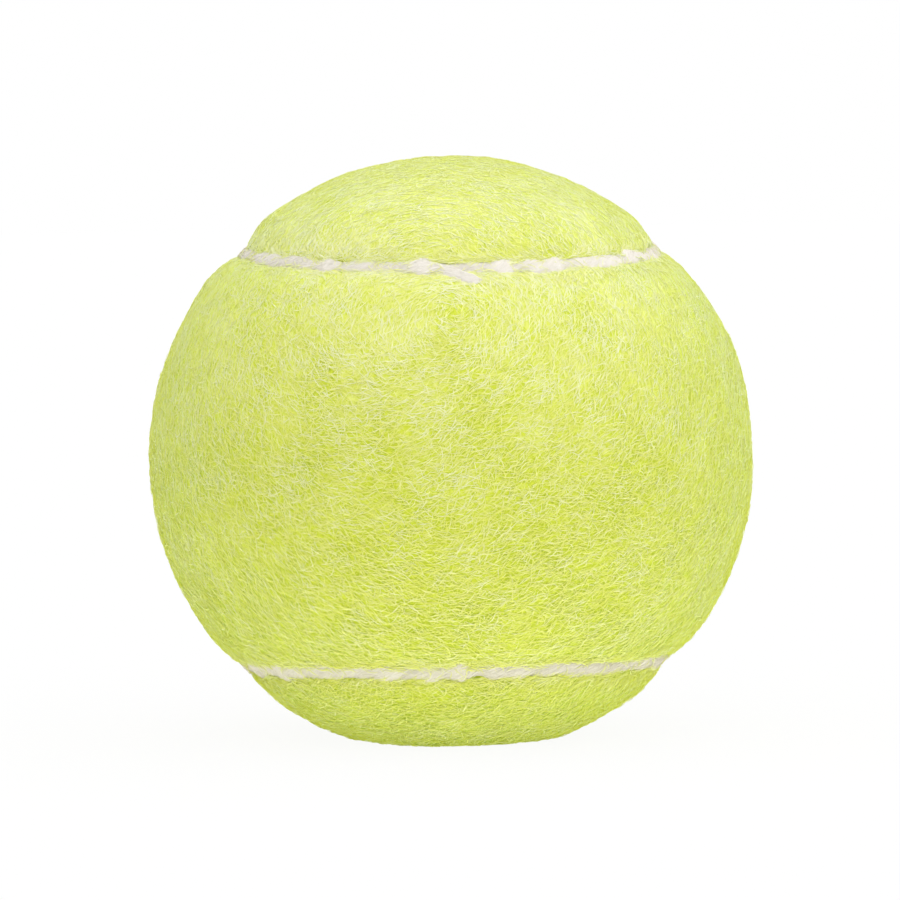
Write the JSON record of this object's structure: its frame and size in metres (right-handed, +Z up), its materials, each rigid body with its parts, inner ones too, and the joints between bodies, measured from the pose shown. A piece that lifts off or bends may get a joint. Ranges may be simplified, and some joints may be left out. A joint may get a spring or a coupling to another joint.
{
  "type": "tennis ball",
  "caption": "Hollow rubber ball covered with figure-eight panels of raised felt, with a strand of pale yarn in the curved seam between them.",
  "frame": {"origin": "the ball's centre", "axes": "+Z up, -Y the front of the picture. Y is the axis of the seam's symmetry: the front panel's waist crosses the front along X, and the rear panel's waist crosses the back along Z"},
  "size_m": [0.067, 0.067, 0.067],
  "materials": {
    "core_rubber": "moulded, matt",
    "core_cement": "dried rubber cement, satin",
    "felt_backing": "plain weave, cotton and wool",
    "felt_nap": "needled wool and nylon felt, raised nap",
    "seam_cement": "white cement, matt",
    "seam_yarn": "soft spun yarn, off-white"
  },
  "bodies": {
    "root": {"core_half_upper": "core_rubber", "core_half_lower": "core_rubber", "core_bond_ring": "core_cement", "felt_cement": "core_cement", "front_panel_backing": "felt_backing", "rear_panel_backing": "felt_backing", "front_panel_nap": "felt_nap", "rear_panel_nap": "felt_nap", "seam_bed": "seam_cement", "seam_yarn": "seam_yarn"}
  },
  "joints": []
}
